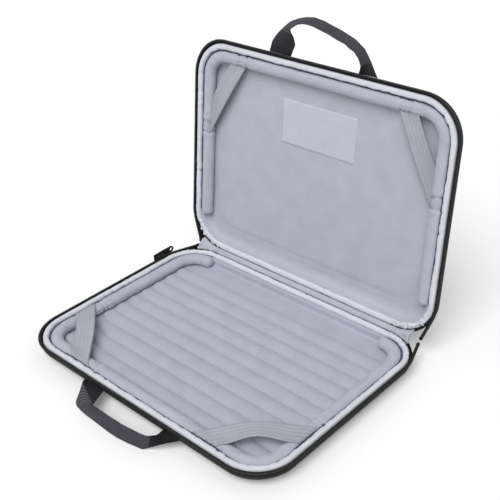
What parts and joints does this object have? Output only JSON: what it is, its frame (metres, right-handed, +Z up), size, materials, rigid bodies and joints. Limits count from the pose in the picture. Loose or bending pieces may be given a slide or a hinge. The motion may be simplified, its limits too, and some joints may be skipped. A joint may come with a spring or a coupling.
{
  "type": "laptop hard case",
  "caption": "Zipped hard case for a small laptop: two moulded cloth-covered halves hinged at the back, with a carrying handle on each, padded linings and elastic corner straps.",
  "frame": {"origin": "centre of the lower half's flat underside", "axes": "+X to the user's right, +Y to the hinge at the back, +Z up; the lower half lies flat and the lid stands open"},
  "size_m": [0.3598, 0.3441, 0.3181],
  "materials": {
    "shell": "matt woven cloth over moulded foam",
    "lining": "soft brushed knit",
    "binding": "soft folded edge binding",
    "bumper": "soft knit over a foam roll",
    "tape": "close woven zip tape",
    "coil": "satin nylon coil",
    "stop": "satin moulded stop",
    "strap": "knitted elastic",
    "webbing": "ribbed webbing",
    "spine": "matt woven cloth",
    "patch": "fine ribbed cloth",
    "slider": "satin black"
  },
  "bodies": {
    "base": {"base_shell": "shell", "base_liner": "lining", "base_rim_binding": "binding", "base_bumper": "bumper", "base_zip_tape": "tape", "base_zip_coil": "coil", "base_zip_stops": "stop", "base_strap_left": "strap", "base_strap_right": "strap", "base_spine_cover": "spine", "base_spine_lining": "lining"},
    "lid": {"lid_shell": "shell", "lid_liner": "lining", "lid_rim_binding": "binding", "lid_bumper": "bumper", "lid_zip_tape": "tape", "lid_zip_coil": "coil", "lid_zip_stops": "stop", "lid_strap_left": "strap", "lid_strap_right": "strap", "lid_patch": "patch", "lid_spine_cover": "spine", "lid_spine_lining": "lining"},
    "base_handle": {"base_handle": "webbing"},
    "lid_handle": {"lid_handle": "webbing"},
    "zip_slider": {"zip_slider": "slider"},
    "zip_puller": {"zip_puller": "slider"}
  },
  "joints": [
    {"name": "lid_hinge", "type": "hinge", "parent": "base", "child": "lid", "pos_m": [0, 0.1287, 0.022], "axis": [1, 0, 0], "range_deg": [-82.5, 97.5]},
    {"name": "base_handle_hinge", "type": "hinge", "parent": "base", "child": "base_handle", "pos_m": [0, -0.12935, 0.0133], "axis": [1, 0, 0], "range_deg": [-9, 65], "stiffness_Nm_per_rad": 0.02},
    {"name": "lid_handle_hinge", "type": "hinge", "parent": "lid", "child": "lid_handle", "pos_m": [0, 0.17101, 0.27671], "axis": [-1, 0, 0], "range_deg": [-20, 75], "stiffness_Nm_per_rad": 0.02},
    {"name": "zip_slide", "type": "slide", "parent": "base", "child": "zip_slider", "axis": [0, -1, 0], "range_m": [0, 0.149]},
    {"name": "puller_hinge", "type": "hinge", "parent": "zip_slider", "child": "zip_puller", "pos_m": [-0.1803, 0.072, 0.022], "axis": [0, 0, 1], "range_deg": [0, 175]}
  ]
}
